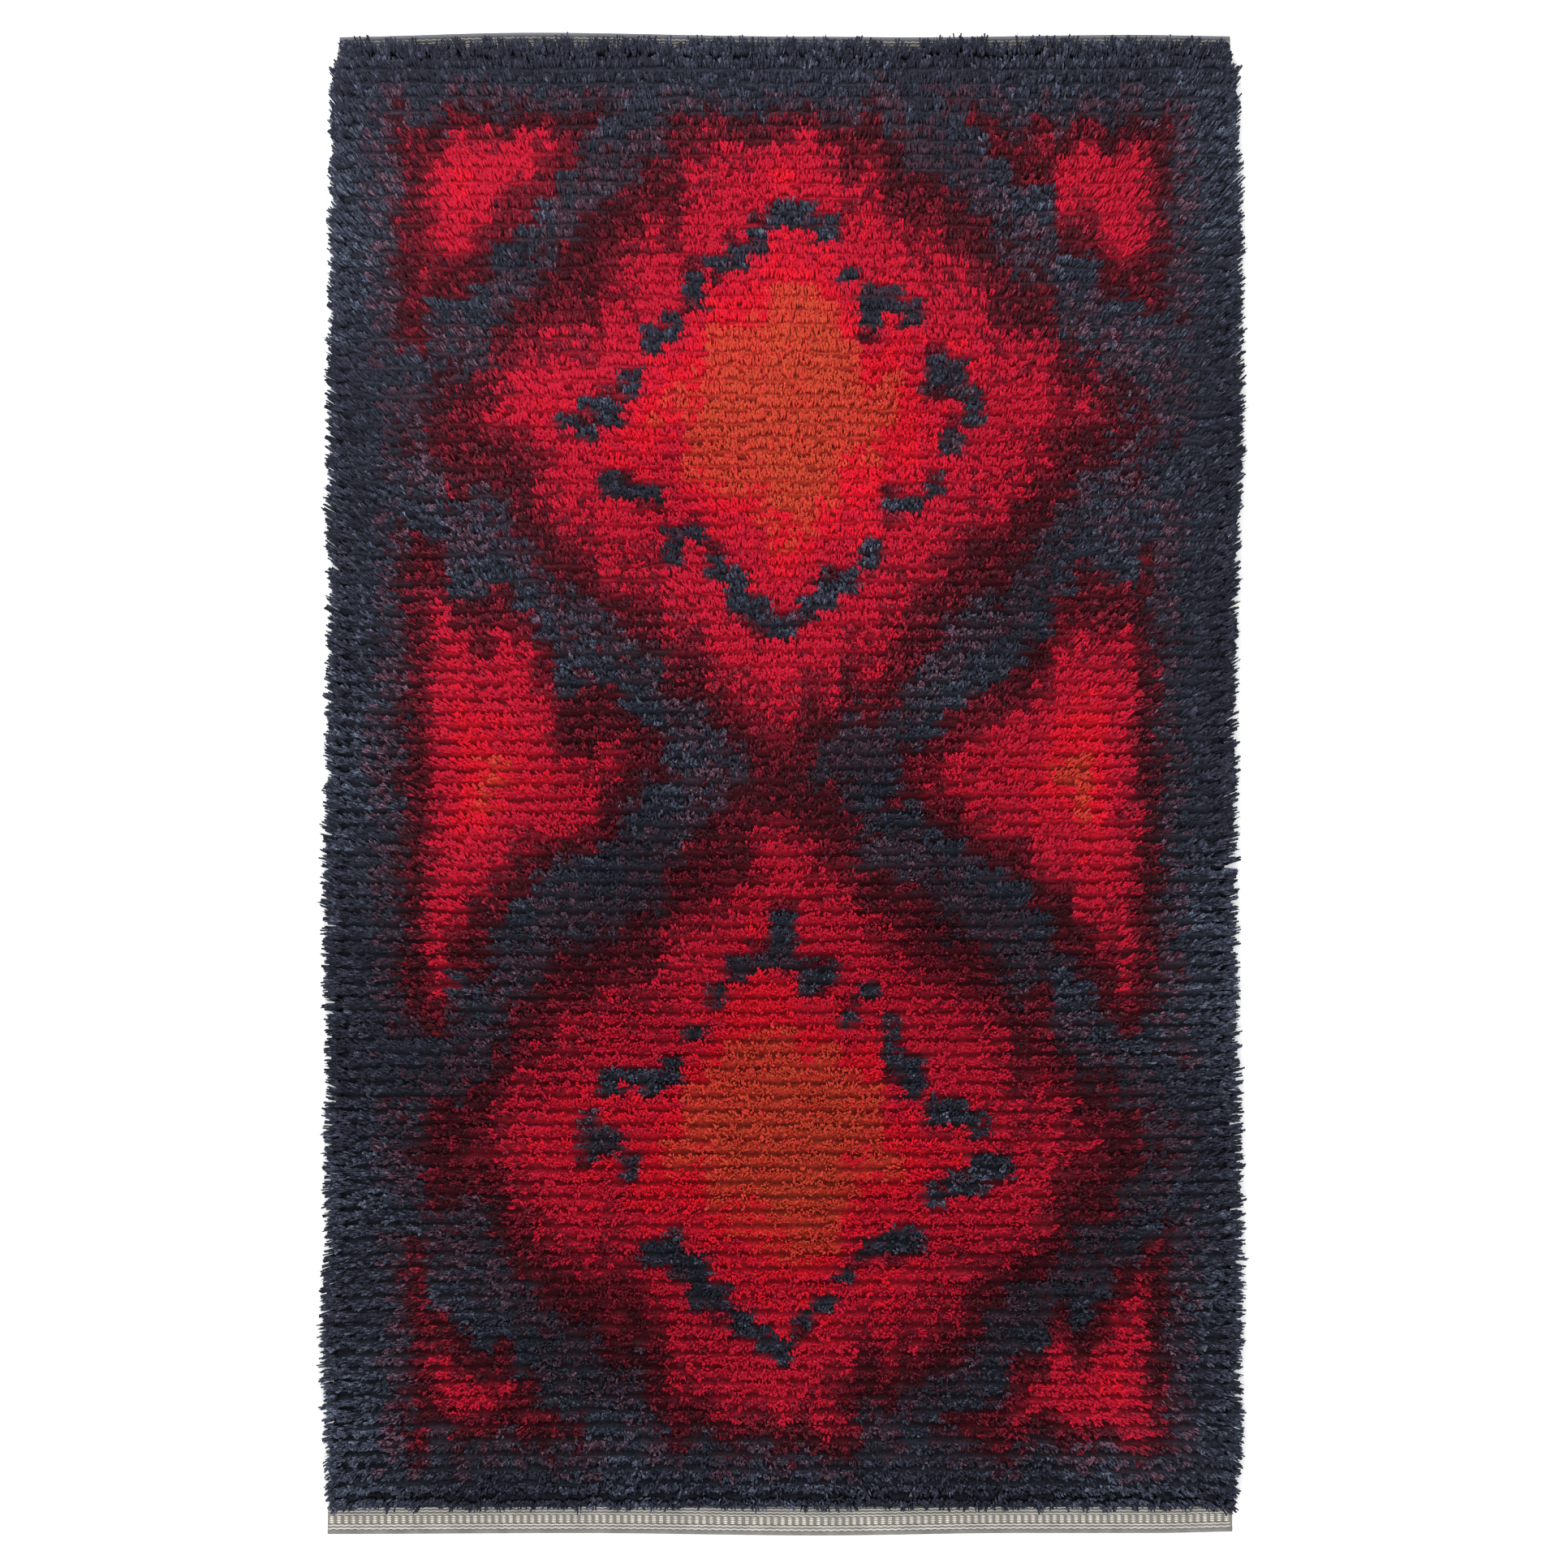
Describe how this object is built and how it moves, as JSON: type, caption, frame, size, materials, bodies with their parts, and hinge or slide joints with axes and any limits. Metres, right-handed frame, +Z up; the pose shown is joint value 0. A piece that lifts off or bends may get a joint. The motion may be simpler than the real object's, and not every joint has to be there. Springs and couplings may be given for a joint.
{
  "type": "rya rug",
  "caption": "Rectangular long-pile wool rug lying flat, knotted in rows on a woven ground with a flat patterned band at each end.",
  "frame": {"origin": "middle of the rug's underside, on the floor", "axes": "+Y along the rug's length towards the end that the nap lies towards, +X across it, +Z up out of the pile"},
  "size_m": [1, 1.6279, 0.029],
  "materials": {
    "ground_weave": "flat-woven cream and grey linen and wool, matt",
    "pile_wool": "soft matt wool pile",
    "yarn_navy": "matt wool yarn",
    "yarn_plum": "matt wool yarn",
    "yarn_wine": "matt wool yarn",
    "yarn_crimson": "matt wool yarn",
    "yarn_scarlet": "matt wool yarn",
    "yarn_rust": "matt wool yarn"
  },
  "bodies": {
    "root": {"ground_cloth": "ground_weave", "pile": "pile_wool"}
  },
  "joints": []
}
